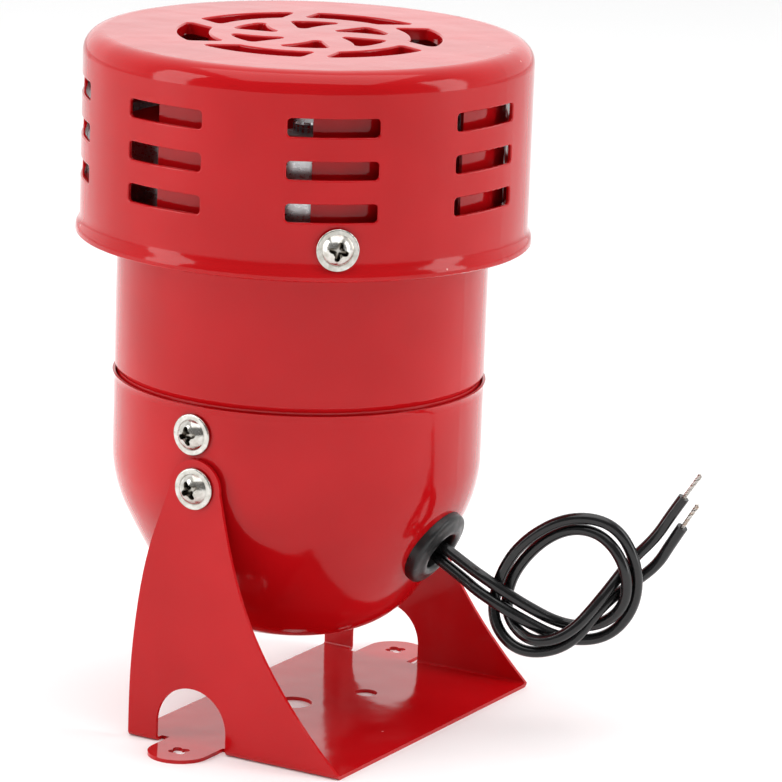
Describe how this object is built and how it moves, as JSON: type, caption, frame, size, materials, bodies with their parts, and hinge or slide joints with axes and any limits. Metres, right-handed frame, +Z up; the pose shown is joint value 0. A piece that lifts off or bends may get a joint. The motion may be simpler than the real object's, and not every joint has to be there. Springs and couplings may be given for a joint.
{
  "type": "motor siren",
  "caption": "Small motor siren: red steel cup, tube and slotted head with a swirl grille, tilting in a folded U bracket with ears, two loose leads.",
  "frame": {"origin": "on the housing's axis, on the underside of the bracket's base", "axes": "+Z up along the housing's axis, +X to the side where the leads leave, -Y and +Y through the two bracket arms"},
  "size_m": [0.1385, 0.105, 0.1487],
  "materials": {
    "red_enamel": "gloss",
    "nickel_screw": "polished",
    "zinc_steel": "satin",
    "sheet_aluminium": "satin",
    "cast_aluminium": "cast",
    "ground_steel": "ground",
    "lamination": "laminated",
    "copper_winding": "varnished",
    "commutator_copper": "turned",
    "bush_bronze": "sintered",
    "brass": "pressed",
    "board": "laminate",
    "carbon": "matte",
    "spring_steel": "drawn",
    "grommet_rubber": "satin",
    "lead_pvc": "gloss",
    "tinned_copper": "stranded"
  },
  "bodies": {
    "bracket": {"mounting_bracket": "red_enamel"},
    "housing": {"bottom_cup": "red_enamel", "motor_tube": "red_enamel", "head_cover": "red_enamel", "head_pan": "red_enamel", "head_screws": "nickel_screw", "cup_screws": "nickel_screw", "cup_nuts": "zinc_steel", "pivot_screws": "nickel_screw", "pivot_nuts": "zinc_steel", "pivot_washers": "zinc_steel", "tube_screws": "zinc_steel", "tube_nuts": "zinc_steel", "stator_ring": "red_enamel", "stator_rivets": "zinc_steel", "field_core": "lamination", "field_coils": "copper_winding", "lower_bridge": "cast_aluminium", "upper_bridge": "cast_aluminium", "lower_bush": "bush_bronze", "upper_bush": "bush_bronze", "through_bolts": "zinc_steel", "bolt_spacers": "zinc_steel", "bolt_nuts": "zinc_steel", "brush_plate": "board", "front_brush_holder": "brass", "front_brush_spring": "spring_steel", "rear_brush_holder": "brass", "rear_brush_spring": "spring_steel", "cable_grommet": "grommet_rubber", "inner_leads": "lead_pvc", "lead_a": "lead_pvc", "lead_b": "lead_pvc", "lead_a_strands": "tinned_copper", "lead_b_strands": "tinned_copper"},
    "rotor": {"shaft": "ground_steel", "armature_core": "lamination", "armature_windings": "copper_winding", "commutator": "commutator_copper", "retaining_ring": "spring_steel", "impeller": "sheet_aluminium", "impeller_washer": "zinc_steel", "impeller_nut": "zinc_steel"},
    "front_brush": {"front_brush": "carbon"},
    "rear_brush": {"rear_brush": "carbon"}
  },
  "joints": [
    {"name": "tilt", "type": "hinge", "parent": "bracket", "child": "housing", "pos_m": [0, 0, 0.0573], "axis": [0, 1, 0], "range_deg": [-80, 20]},
    {"name": "rotor_spin", "type": "hinge", "parent": "housing", "child": "rotor", "pos_m": [0, 0, 0.08], "axis": [0, 0, 1], "continuous": true},
    {"name": "front_brush_slide", "type": "slide", "parent": "housing", "child": "front_brush", "axis": [1, 0, 0], "range_m": [0, 0.0025], "stiffness_N_per_m": 60, "springref_m": -0.006, "deforming": ["front_brush_spring"]},
    {"name": "rear_brush_slide", "type": "slide", "parent": "housing", "child": "rear_brush", "axis": [-1, 0, 0], "range_m": [0, 0.0025], "stiffness_N_per_m": 60, "springref_m": -0.006, "deforming": ["rear_brush_spring"]}
  ]
}
